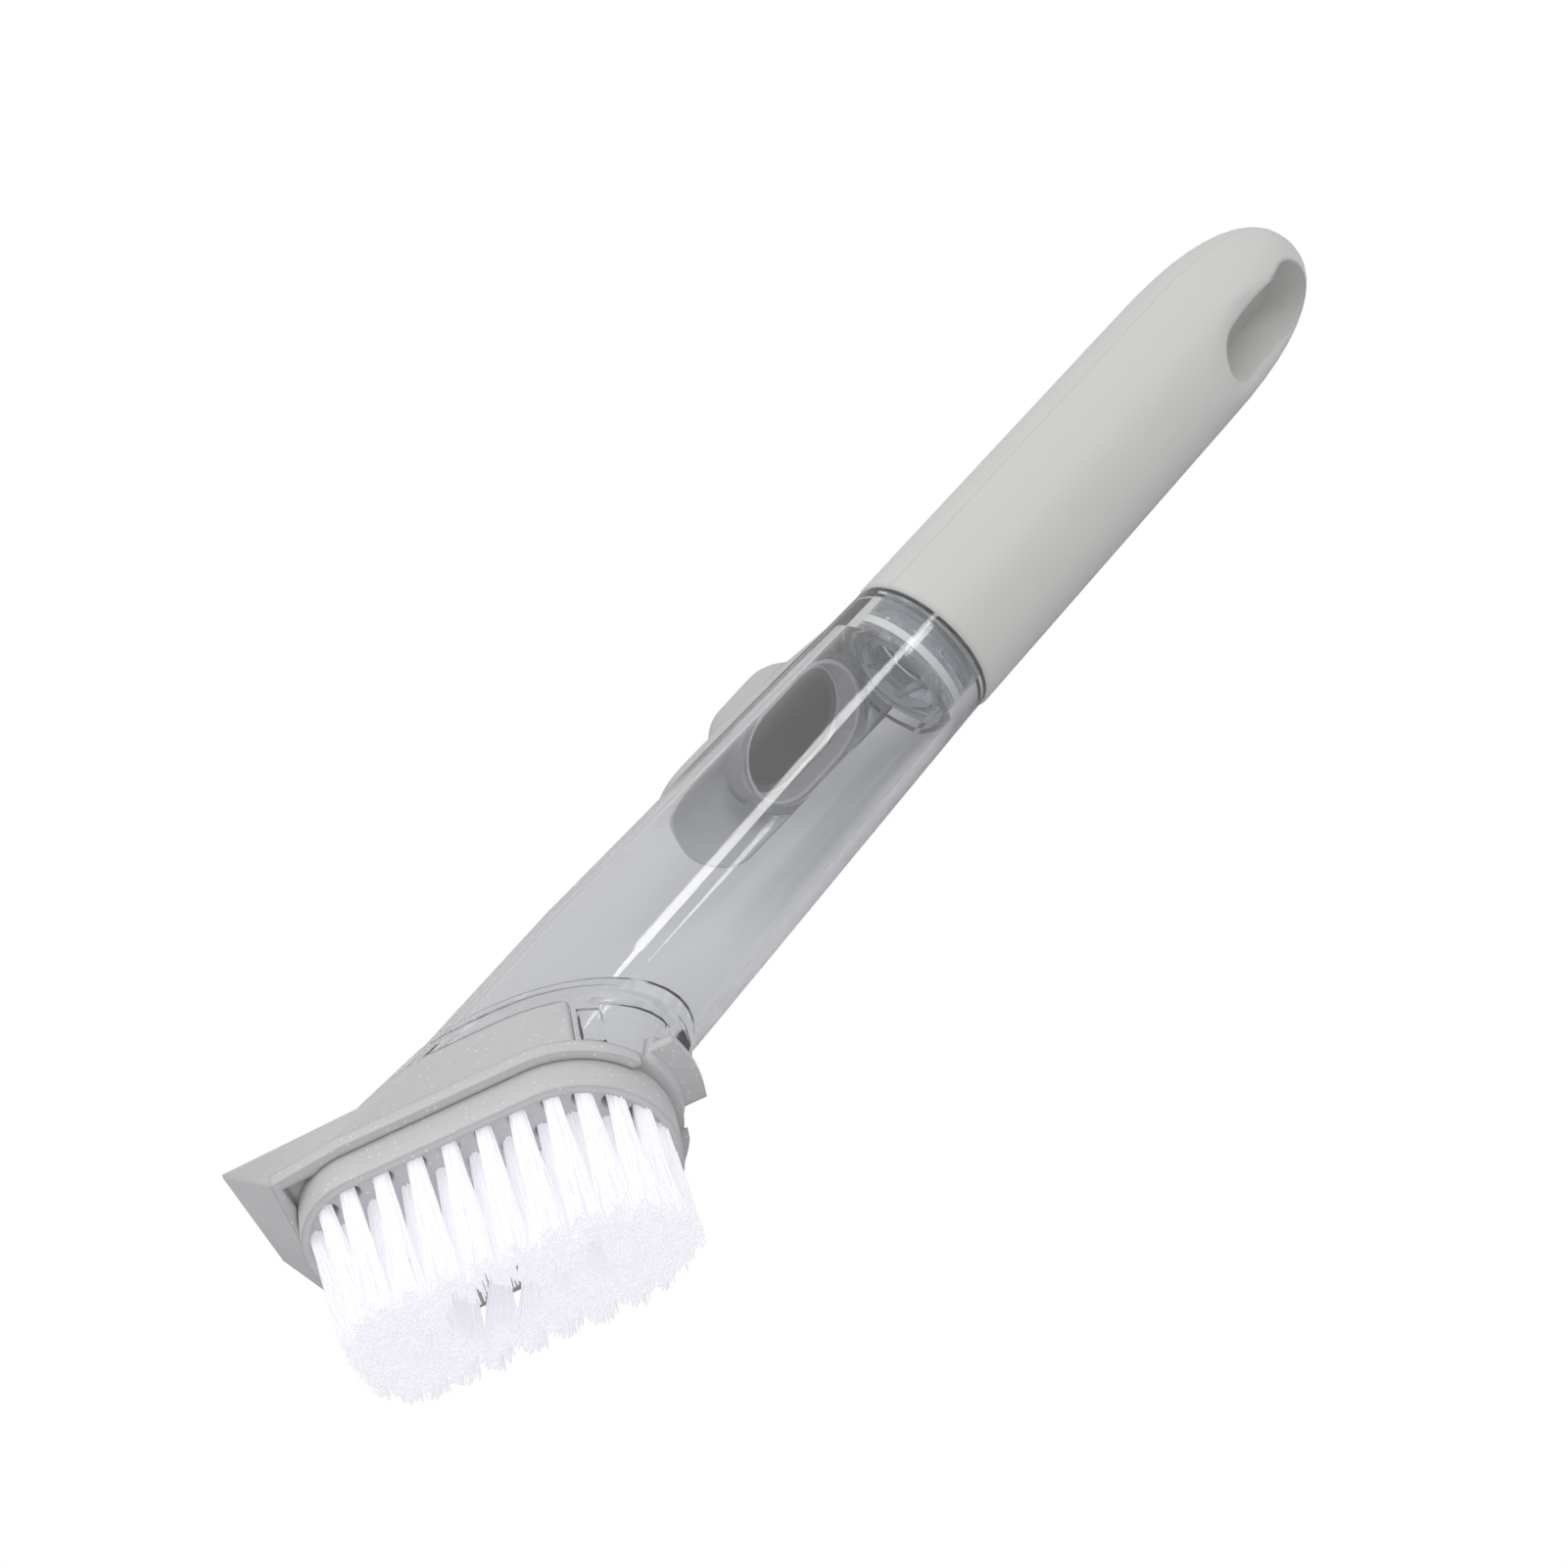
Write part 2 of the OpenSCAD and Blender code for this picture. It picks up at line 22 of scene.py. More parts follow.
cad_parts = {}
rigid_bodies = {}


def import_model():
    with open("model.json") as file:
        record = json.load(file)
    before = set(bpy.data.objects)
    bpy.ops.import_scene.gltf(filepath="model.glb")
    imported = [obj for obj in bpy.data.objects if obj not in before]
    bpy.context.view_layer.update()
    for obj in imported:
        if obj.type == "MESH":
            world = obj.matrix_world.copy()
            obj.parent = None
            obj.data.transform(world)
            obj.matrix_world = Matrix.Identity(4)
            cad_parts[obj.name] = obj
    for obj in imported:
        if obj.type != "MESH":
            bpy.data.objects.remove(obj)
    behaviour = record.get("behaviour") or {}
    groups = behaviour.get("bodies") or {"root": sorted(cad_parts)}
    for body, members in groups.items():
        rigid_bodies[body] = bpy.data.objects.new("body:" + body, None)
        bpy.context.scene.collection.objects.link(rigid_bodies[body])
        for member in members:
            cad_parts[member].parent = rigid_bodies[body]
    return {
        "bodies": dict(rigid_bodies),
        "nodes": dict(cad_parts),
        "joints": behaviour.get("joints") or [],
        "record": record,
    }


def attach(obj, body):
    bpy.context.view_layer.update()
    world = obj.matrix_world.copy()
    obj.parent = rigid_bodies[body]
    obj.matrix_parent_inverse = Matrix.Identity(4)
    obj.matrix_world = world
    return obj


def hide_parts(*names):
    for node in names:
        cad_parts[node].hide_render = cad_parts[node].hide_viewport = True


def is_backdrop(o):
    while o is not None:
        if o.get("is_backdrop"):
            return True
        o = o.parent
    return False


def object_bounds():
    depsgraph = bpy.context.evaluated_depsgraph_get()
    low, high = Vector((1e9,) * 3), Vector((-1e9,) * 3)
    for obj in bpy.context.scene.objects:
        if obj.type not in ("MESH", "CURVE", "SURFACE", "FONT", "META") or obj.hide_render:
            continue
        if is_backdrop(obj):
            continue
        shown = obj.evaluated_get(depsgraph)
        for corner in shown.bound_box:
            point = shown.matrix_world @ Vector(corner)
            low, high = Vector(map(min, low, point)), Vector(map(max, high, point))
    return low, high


LOG = logging.getLogger("scene")
logging.basicConfig(level=logging.INFO, format="%(name)s: %(message)s")

MM = 0.001

# Middle of the hang hole along the barrel, which is the row frame's origin.
HANG_X_MM = 227.5
# Angle between the barrel and the bristle plate.
HEAD_ANGLE = math.radians(37.4)
# The barrel's taper: where it ends and begins, and its radius at the handle and at the head.
BARREL_LEN = 141.0
BARREL_RUN = 62.0
BARREL_TOP_R = 13.4
BARREL_FOOT_R = 16.0

# Distance within which split corners are one point, and within which a point is on a plane.
WELD = 1e-6
ON_PLANE = 1e-7
# Two flat faces that meet at a smaller angle than this become one.
FLAT_ANGLE = math.radians(0.5)
# Steps round a turned solid.
LATHE_STEPS = 160
# Space between the wand and the floor.
FLOOR_GAP = 0.0001
# Attributes that the bristle tree works with, which no finished piece keeps.
BRISTLE_ATTRIBUTES = ("disc", "reach", "phase", "lean")

# Noise scales of a finish, per metre: roughness, moulded grain, flecks and the cloud under them.
WEAR_SCALE = 60.0
GRAIN_SCALE = 900.0
FLECK_SCALE = 950.0
CLOUD_SCALE = 1300.0
# How far the roughness swings to each side, and the lowest that it reaches.
ROUGHNESS_SWING = 0.05
ROUGHNESS_FLOOR = 0.02
# Distance from its cell's middle at which a fleck begins, and within which it shows in full.
FLECK_RIM = 0.26
FLECK_CORE = 0.14
# Share of the cells that have no fleck, the colour of the flecks, and the cloud's strength.
FLECKLESS = 0.6
FLECK_COLOR = (0.95, 0.95, 0.95, 1.0)
CLOUD_SHARE = 0.12
# Stretch of the flow marks in clear plastic, long along the barrel.
FLOW_SCALE = (6.0, 160.0, 160.0)

WHITE = (1.0, 1.0, 1.0, 1.0)

Point = tuple[float, float, float]


class Slot(Enum):
    """Material slots of the record that the pieces here take their finish from."""

    CLEAR = "clear_plastic"
    SOFT_GREY = "soft_grey"
    SOFT_LIGHT = "soft_light"
    HEAD = "head_plastic"
    INNER = "inner_plastic"
    SEAL = "seal_rubber"
    SILICONE = "valve_silicone"
    WIRE = "staple_wire"
    BRISTLE = "bristles"


def barrel_point(x: float, y: float, z: float) -> Vector:
    """Turns a point of the barrel frame in mm into the row frame in metres.

    Args:
        x: Distance along the barrel from the bristle roots.
        y: Distance across the wand, towards its right side.
        z: Distance towards the button.

    Returns:
        The point in the row frame.
    """
    return Vector(((x - HANG_X_MM) * MM, z * MM, -y * MM))


def head_point(h: float, y: float, n: float) -> Vector:
    """Turns a point of the head frame in mm into the row frame in metres.

    Args:
        h: Distance along the bristle plate, towards the heel.
        y: Distance across the wand, towards its right side.
        n: Distance from the bristle roots, away from the bristles.

    Returns:
        The point in the row frame.
    """
    c, s = math.cos(HEAD_ANGLE), math.sin(HEAD_ANGLE)
    return barrel_point(h * c + n * s, y, -h * s + n * c)


def head_step(h: float, y: float, n: float) -> Vector:
    """Turns a step of the head frame in mm into the row frame in metres.

    Args:
        h: Step along the bristle plate.
        y: Step across the wand.
        n: Step away from the bristles.

    Returns:
        The step in the row frame.
    """
    return head_point(h, y, n) - head_point(0.0, 0.0, 0.0)


class Graph:
    """Adds and links the nodes of one tree."""

    def __init__(self, tree: bpy.types.NodeTree) -> None:
        self.tree = tree

    def add(self, kind: str, feeds: dict | None = None, **settings: object) -> bpy.types.Node:
        """Adds a node, sets it and feeds its inputs.

        Args:
            kind: Identifier of the node's type.
            feeds: Socket or plain value for each input, by name or index.
            **settings: Properties of the node.

        Returns:
            The new node.
        """
        node = self.tree.nodes.new(kind)
        for key, value in settings.items():
            setattr(node, key, value)
        for key, value in (feeds or {}).items():
            if isinstance(value, bpy.types.NodeSocket):
                self.tree.links.new(value, node.inputs[key])
            else:
                node.inputs[key].default_value = value
        return node

    def link(self, source: bpy.types.NodeSocket, target: bpy.types.NodeSocket) -> None:
        """Links one socket to another."""
        self.tree.links.new(source, target)

    def math(self, operation: str, *values: object) -> bpy.types.NodeSocket:
        """Adds a maths node and returns its result."""
        node = self.add("ShaderNodeMath", dict(enumerate(values)), operation=operation)
        return node.outputs[0]

    def vector(self, operation: str, *values: object) -> bpy.types.NodeSocket:
        """Adds a vector maths node and returns its vector."""
        node = self.add("ShaderNodeVectorMath", dict(enumerate(values)), operation=operation)
        return node.outputs[0]

    def scaled(self, vector: object, factor: object) -> bpy.types.NodeSocket:
        """Returns a vector times a number."""
        node = self.add("ShaderNodeVectorMath", {0: vector, "Scale": factor}, operation="SCALE")
        return node.outputs[0]

    def random(self, low: float, high: object, seed: object) -> bpy.types.NodeSocket:
        """Returns a random number for each element."""
        feeds = {2: low, 3: high, "Seed": seed}
        return self.add("FunctionNodeRandomValue", feeds, data_type="FLOAT").outputs[1]

    def named(self, name: str, kind: str) -> bpy.types.NodeSocket:
        """Reads a named attribute."""
        node = self.add("GeometryNodeInputNamedAttribute", {"Name": name}, data_type=kind)
        return node.outputs["Attribute"]


@dataclass(frozen=True)
class Finish:
    """A procedural surface.

    Attributes:
        name: Name of the material.
        color: Linear base colour.
        roughness: Mean roughness.
        speckle: Strength of fine light flecks, 0 for none.
        grain: Height of the fine bump in metres.
        coat: Weight of the clear coat.
        sheen: Weight of the soft sheen.
        subsurface: Weight of light scattered under the surface.
        glow: Emission strength, which stands in for light that thin filaments pass on.
        edge: Radius that sharp edges are shaded with, in metres.
        seam: Half width of the mould's parting line in metres, 0 for none.
    """

    name: str
    color: tuple[float, float, float]
    roughness: float
    speckle: float = 0.0
    grain: float = 0.0
    coat: float = 0.0
    sheen: float = 0.0
    subsurface: float = 0.0
    glow: float = 0.0
    edge: float = 0.0
    seam: float = 0.0

    def build(self) -> bpy.types.Material:
        """Makes the material from noise on Object coordinates.

        Returns:
            The new material.
        """
        material = bpy.data.materials.new(self.name)
        material.use_nodes = True
        graph = Graph(material.node_tree)
        shader = material.node_tree.nodes["Principled BSDF"]
        for name, value in {
            "Base Color": (*self.color, 1.0),
            "Roughness": self.roughness,
            "Coat Weight": self.coat,
            "Coat Roughness": 0.25,
            "Sheen Weight": self.sheen,
            "Sheen Roughness": 0.6,
            "Subsurface Weight": self.subsurface,
            "Subsurface Scale": 0.002,
            "Emission Color": (*self.color, 1.0),
            "Emission Strength": self.glow,
        }.items():
            shader.inputs[name].default_value = value
        place = graph.add("ShaderNodeTexCoord").outputs["Object"]
        noise = graph.add("ShaderNodeTexNoise", {
            "Vector": place, "Scale": WEAR_SCALE, "Detail": 3.0,
        })
        span = graph.add("ShaderNodeMapRange", {
            "Value": noise.outputs["Fac"],
            "To Min": max(ROUGHNESS_FLOOR, self.roughness - ROUGHNESS_SWING),
            "To Max": min(1.0, self.roughness + ROUGHNESS_SWING),
        })
        graph.link(span.outputs["Result"], shader.inputs["Roughness"])
        if self.speckle:
            graph.link(self._flecks(graph, place), shader.inputs["Base Color"])
        graph.link(self._relief(graph, place), shader.inputs["Normal"])
        return material

    def _flecks(self, graph: Graph, place: bpy.types.NodeSocket) -> bpy.types.NodeSocket:
        """Scatters small light flecks over the base colour."""
        cells = graph.add("ShaderNodeTexVoronoi", {"Vector": place, "Scale": FLECK_SCALE})
        dots = graph.add("ShaderNodeMapRange", {
            "Value": cells.outputs["Distance"], "From Min": FLECK_RIM, "From Max": FLECK_CORE,
            "To Max": self.speckle,
        })
        chosen = graph.add("ShaderNodeSeparateColor", {"Color": cells.outputs["Color"]}).outputs[0]
        picked = graph.math("GREATER_THAN", chosen, FLECKLESS)
        few = graph.math("MULTIPLY", dots.outputs["Result"], picked)
        cloud = graph.add("ShaderNodeTexNoise", {
            "Vector": place, "Scale": CLOUD_SCALE, "Detail": 1.0,
        })
        tone = graph.add("ShaderNodeMapRange", {
            "Value": cloud.outputs["Fac"], "From Min": 0.3, "From Max": 0.7,
            "To Max": self.speckle * CLOUD_SHARE,
        })
        share = graph.math("ADD", few, tone.outputs["Result"])
        mix = graph.add("ShaderNodeMix", {
            "Factor": share, "A": (*self.color, 1.0), "B": FLECK_COLOR,
        }, data_type="RGBA")
        return mix.outputs["Result"]

    def _relief(self, graph: Graph, place: bpy.types.NodeSocket) -> bpy.types.NodeSocket:
        """Shades the edges round, and adds the moulded grain and the parting line as a bump."""
        noise = graph.add("ShaderNodeTexNoise", {
            "Vector": place, "Scale": GRAIN_SCALE, "Detail": 2.0,
        })
        height = graph.math("MULTIPLY", noise.outputs["Fac"], self.grain)
        if self.seam:
            level = graph.add("ShaderNodeSeparateXYZ", {"Vector": place}).outputs["Y"]
            line = graph.add("ShaderNodeMapRange", {
                "Value": graph.math("ABSOLUTE", level), "From Max": self.seam,
                "To Min": self.seam, "To Max": 0.0,
            }, interpolation_type="SMOOTHSTEP")
            height = graph.math("ADD", height, line.outputs["Result"])
        rounded = graph.add("ShaderNodeBevel", {"Radius": self.edge}, samples=6)
        bump = graph.add("ShaderNodeBump", {
            "Strength": 0.5, "Distance": 1.0, "Height": height,
            "Normal": rounded.outputs["Normal"],
        })
        return bump.outputs["Normal"]


@dataclass(frozen=True)
class ClearPlastic:
    """A clear moulded plastic that bends what is seen through it.

    Attributes:
        name: Name of the material.
        tint: Linear colour of what passes through.
        roughness: Roughness of the surface.
        ior: Index of refraction.
        ripple: Height of the faint flow marks along the barrel, in metres.
        haze: Share of the light that the plastic scatters.
    """

    name: str
    tint: tuple[float, float, float]
    roughness: float
    ior: float = 1.47
    ripple: float = 0.0
    haze: float = 0.0

    def build(self) -> bpy.types.Material:
        """Makes a refracting shader that still lets shadow rays through.

        Returns:
            The new material.
        """
        material = bpy.data.materials.new(self.name)
        material.use_nodes = True
        tree = material.node_tree
        graph = Graph(tree)
        glass = tree.nodes["Principled BSDF"]
        for name, value in {
            "Base Color": (*self.tint, 1.0),
            "Roughness": self.roughness,
            "IOR": self.ior,
            "Transmission Weight": 1.0 - self.haze,
        }.items():
            glass.inputs[name].default_value = value
        graph.link(self._ripples(graph), glass.inputs["Normal"])
        through = graph.add("ShaderNodeBsdfTransparent", {"Color": (*self.tint, 1.0)})
        rays = graph.add("ShaderNodeLightPath")
        mix = graph.add("ShaderNodeMixShader", {
            "Fac": rays.outputs["Is Shadow Ray"], 1: glass.outputs["BSDF"],
            2: through.outputs["BSDF"],
        })
        graph.link(mix.outputs["Shader"], tree.nodes["Material Output"].inputs["Surface"])
        return material

    def _ripples(self, graph: Graph) -> bpy.types.NodeSocket:
        """Makes faint flow marks, long along the barrel, as a bump."""
        place = graph.add("ShaderNodeTexCoord").outputs["Object"]
        stretch = graph.add("ShaderNodeMapping", {"Vector": place, "Scale": FLOW_SCALE})
        noise = graph.add("ShaderNodeTexNoise", {
            "Vector": stretch.outputs["Vector"], "Scale": 1.0, "Detail": 2.0,
        })
        bump = graph.add("ShaderNodeBump", {
            "Strength": 1.0, "Distance": self.ripple, "Height": noise.outputs["Fac"],
        })
        return bump.outputs["Normal"]


FINISHES: dict[Slot, Finish | ClearPlastic] = {
    Slot.CLEAR: ClearPlastic(
        "clear_plastic_look", (0.97, 0.975, 0.985), 0.02, ripple=0.00003, haze=0.04,
    ),
    Slot.SOFT_GREY: Finish(
        "soft_grey_look", (0.55, 0.55, 0.56), 0.5, grain=0.00002, edge=0.0008,
    ),
    Slot.SOFT_LIGHT: Finish(
        "soft_light_look", (0.65, 0.65, 0.635), 0.5,
        grain=0.00002, sheen=0.1, edge=0.0012, seam=0.0002,
    ),
    Slot.HEAD: Finish(
        "head_plastic_look", (0.59, 0.59, 0.6), 0.4, speckle=0.5, grain=0.00001, edge=0.0009,
    ),
    Slot.INNER: Finish("inner_plastic_look", (0.66, 0.67, 0.69), 0.3, coat=0.4, edge=0.0003),
    Slot.SEAL: Finish("seal_rubber_look", (0.08, 0.08, 0.09), 0.5, grain=0.00001, edge=0.0002),
    Slot.SILICONE: Finish(
        "valve_silicone_look", (0.75, 0.75, 0.73), 0.45, subsurface=0.2, edge=0.0002,
    ),
    Slot.WIRE: Finish("staple_wire_look", (0.7, 0.6, 0.35), 0.35, edge=0.0001),
    Slot.BRISTLE: Finish("bristle_look", (0.93, 0.92, 0.95), 0.4, glow=0.2),
}
PLUG = ClearPlastic("plug_look", (0.92, 0.94, 0.97), 0.05, haze=0.13)
# Dark colour of the dome's hollow side: painted shade inside the dome.
PAINTED_DOME_SHADE = Finish(
    "dome_inside_painted_shade", (0.13, 0.13, 0.135), 0.45, grain=0.00001, edge=0.0003,
)


class Finisher:
    """Builds each finish once and hands it out by slot."""

    def __init__(self) -> None:
        self._made: dict[Slot, bpy.types.Material] = {}

    def material(self, slot: Slot) -> bpy.types.Material:
        """Returns the material of a slot, building it the first time.

        Args:
            slot: The record's slot.

        Returns:
            The material.
        """
        if slot not in self._made:
            self._made[slot] = FINISHES[slot].build()
        return self._made[slot]

    def paint_frame(self, frame: dict) -> None:
        """Gives every CAD node the look of its slot.
        """
        slots = {s["node"]: s["material_slot"] for s in frame["record"]["subparts"]}
        for node, obj in frame["nodes"].items():
            obj.data.materials.clear()
            obj.data.materials.append(self.material(Slot(slots[node])))
            LOG.info("CAD node %s takes %s", node, slots[node])


def new_object(name: str, mesh: bpy.types.Mesh) -> bpy.types.Object:
    """Links a mesh into the scene as an object at the origin.

    Args:
        name: Name of the object.
        mesh: Its mesh, in the row frame.

    Returns:
        The new object.
    """
    made = bpy.data.objects.new(name, mesh)
    bpy.context.scene.collection.objects.link(made)
    return made


def from_bmesh(name: str, work: bmesh.types.BMesh, outward: bool = False) -> bpy.types.Object:
    """Turns a bmesh into an object.

    Args:
        name: Name of the object.
        work: Geometry in the row frame, freed here.
        outward: Whether its normals already point outward, as a CAD node's do.

    Returns:
        The new object.
    """
    if not outward:
        bmesh.ops.recalc_face_normals(work, faces=work.faces)
    mesh = bpy.data.meshes.new(name)
    work.to_mesh(mesh)
    work.free()
    return new_object(name, mesh)


def lathe(name: str, profile: Sequence[tuple[float, float]]) -> bpy.types.Object:
    """Turns a profile round the barrel's axis into a closed solid.

    Args:
        name: Name of the object.
        profile: (x, r) in the barrel frame. Both ends lie on the axis.

    Returns:
        The solid.
    """
    work = bmesh.new()
    turn = [math.tau * i / LATHE_STEPS for i in range(LATHE_STEPS)]
    rings = []
    for x, r in profile:
        if r <= 0:
            rings.append([work.verts.new(barrel_point(x, 0.0, 0.0))] * LATHE_STEPS)
        else:
            rings.append([
                work.verts.new(barrel_point(x, r * math.sin(a), r * math.cos(a))) for a in turn
            ])
    for low, high in zip(rings, rings[1:]):
        for i in range(LATHE_STEPS):
            j = (i + 1) % LATHE_STEPS
            work.faces.new(list(dict.fromkeys((low[i], low[j], high[j], high[i]))))
    return from_bmesh(name, work)


def gathered(name: str, parts: Sequence[bpy.types.Object]) -> bpy.types.Object:
    """Puts closed solids that grow into each other in one mesh.

    Args:
        name: Name of the new object.
        parts: The solids, which are then removed.

    Returns:
        The new object.
    """
    work = bmesh.new()
    for part in parts:
        work.from_mesh(part.data)
        bpy.data.objects.remove(part, do_unlink=True)
    return from_bmesh(name, work, outward=True)


def merged(obj: bpy.types.Object) -> bmesh.types.BMesh:
    """Copies a CAD node's mesh into a bmesh and joins its split corners.

    Args:
        obj: The CAD node, which stays as it is.

    Returns:
        The copy.
    """
    work = bmesh.new()
    work.from_mesh(obj.data)
    bmesh.ops.remove_doubles(work, verts=work.verts, dist=WELD)
    return work


def cut_across(work: bmesh.types.BMesh, x: float, drop_front: bool = False) -> None:
    """Cuts the faces of a bmesh along a plane across the barrel.

    Args:
        work: The faces, in the row frame.
        x: Place of the plane in the barrel frame.
        drop_front: Whether everything on the head's side of the plane is removed.
    """
    bmesh.ops.bisect_plane(
        work, geom=[*work.verts, *work.edges, *work.faces], dist=ON_PLANE,
        clear_inner=drop_front, plane_co=barrel_point(x, 0.0, 0.0), plane_no=(1.0, 0.0, 0.0),
    )


def baked(source: bpy.types.Object, name: str) -> bpy.types.Object:
    """Turns an object with live modifiers into a plain mesh of its own.

    Args:
        source: Object to evaluate, which is then removed.
        name: Name of the new piece.

    Returns:
        The new object, at the origin.
    """
    bpy.context.view_layer.update()
    live = source.evaluated_get(bpy.context.evaluated_depsgraph_get())
    mesh = bpy.data.meshes.new_from_object(live)
    mesh.name = name
    for attribute in [a.name for a in mesh.attributes if a.name in BRISTLE_ATTRIBUTES]:
        mesh.attributes.remove(mesh.attributes[attribute])
    piece = new_object(name, mesh)
    bpy.data.objects.remove(source, do_unlink=True)
    return piece


def place_piece(piece: bpy.types.Object, body: str, slot: Slot, *nodes: str) -> None:
    """Ties a finished piece to its body, and hides the nodes it stands for.

    Args:
        piece: The piece, in place in the row frame.
        body: Body that it moves with.
        slot: Slot of the record that its finish comes from. Not used.
        *nodes: CAD nodes that it replaces.
    """
    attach(piece, body)
    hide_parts(*nodes)
    LOG.info("%s: %d faces", piece.name, len(piece.data.polygons))


def paint(
    piece: bpy.types.Object, *materials: bpy.types.Material, sharper_than: float = 32.0,
) -> None:
    """Shades a piece smooth except over sharp edges, and gives it its materials.

    Args:
        piece: The piece.
        *materials: Its materials, in the order of their index.
        sharper_than: Angle in degrees above which an edge stays sharp.
    """
    mesh = piece.data
    mesh.polygons.foreach_set("use_smooth", [True] * len(mesh.polygons))
    mesh.set_sharp_from_angle(angle=math.radians(sharper_than))
    for material in materials:
        mesh.materials.append(material)


@dataclass(frozen=True)
class MouldedPiece:
    """A CAD node redrawn with the small round edges that a mould gives it.

    Attributes:
        node: The CAD node.
        body: Body that it moves with.
        slot: Slot of its finish.
        radius_mm: Size of the round edges.
        sharper_than: Angle in degrees above which an edge is rounded.
        segments: Faces across a round edge.
    """

    node: str
    body: str
    slot: Slot
    radius_mm: float
    sharper_than: float = 40.0
    segments: int = 2

    def build(self, frame: dict, material: bpy.types.Material) -> None:
        """Builds the piece in place of its CAD node.

        Args:
            material: Finish of the slot.
        """
        work = merged(frame["nodes"][self.node])
        bmesh.ops.dissolve_limit(work, angle_limit=FLAT_ANGLE, verts=work.verts, edges=work.edges)
        plain = from_bmesh(self.node + "_plain", work, outward=True)
        round_off = plain.modifiers.new("round", "BEVEL")
        round_off.width = self.radius_mm * MM
        round_off.segments = self.segments
        round_off.limit_method = "ANGLE"
        round_off.angle_limit = math.radians(self.sharper_than)
        piece = baked(plain, self.node + "_moulded")
        paint(piece, material, sharper_than=35.0)
        place_piece(piece, self.body, self.slot, self.node)


MOULDED = (
    MouldedPiece("head_base", "wand", Slot.HEAD, 0.45),
    MouldedPiece("brush_plate", "brush", Slot.HEAD, 0.4),
    MouldedPiece("grip", "handle", Slot.SOFT_LIGHT, 0.5),
)


@dataclass(frozen=True)
class ButtonSkin:
    """The visible skin of the button: its panel and its dome. Lengths are in mm.

    Attributes:
        fade_from: Where the panel starts to sink into the barrel's line behind the dome.
        fade_to: Where it lies almost flush with the barrel.
        cuts: Cuts across the panel over that stretch, so that it can bend.
        left_over: Share of its thickness that stays there.
        dome_x: Middle of the dome along the barrel.
        dome_z: Height of the dome's foot.
    """

    fade_from: float = 119.0
    fade_to: float = 132.0
    cuts: int = 5
    left_over: float = 0.12
    dome_x: float = 117.7
    dome_z: float = 11.5

    def build(
        self, frame: dict, outside: bpy.types.Material, inside: bpy.types.Material,
    ) -> None:
        """Builds both pieces in place of their CAD nodes.

        Args:
            outside: Finish of the outer skin.
            inside: Finish of the dome's hollow side, whose dark colour is painted shade.
        """
        panel = self._panel(merged(frame["nodes"]["button_panel"]))
        paint(panel, outside)
        place_piece(panel, "wand", Slot.SOFT_GREY, "button_panel")
        dome = self._dome(merged(frame["nodes"]["button_dome"]))
        paint(dome, outside, inside)
        place_piece(dome, "button", Slot.SOFT_GREY, "button_dome")

    def _panel(self, work: bmesh.types.BMesh) -> bpy.types.Object:
        """Lets the panel run out into the barrel behind the dome."""
        fade = self.fade_to - self.fade_from
        taper = BARREL_TOP_R - BARREL_FOOT_R
        for step in range(self.cuts):
            cut_across(work, self.fade_from + fade * step / (self.cuts - 1))
        for vert in work.verts:
            x = vert.co.x / MM + HANG_X_MM
            r = math.hypot(vert.co.y, vert.co.z) / MM
            surface = BARREL_FOOT_R + taper * (x - BARREL_RUN) / (BARREL_LEN - BARREL_RUN)
            if r > surface:
                share = min(1.0, max(0.0, (x - self.fade_from) / fade))
                kept = surface + (r - surface) * (1.0 - share * (1.0 - self.left_over))
                vert.co.y *= kept / r
                vert.co.z *= kept / r
        return from_bmesh("button_panel_skin", work, outward=True)

    def _dome(self, work: bmesh.types.BMesh) -> bpy.types.Object:
        """Gives the dome's hollow side the second material, dark with painted shade."""
        middle = barrel_point(self.dome_x, 0.0, self.dome_z)
        for face in work.faces:
            face.material_index = int(face.normal.dot(face.calc_center_median() - middle) < 0)
        return from_bmesh("button_dome_skin", work, outward=True)


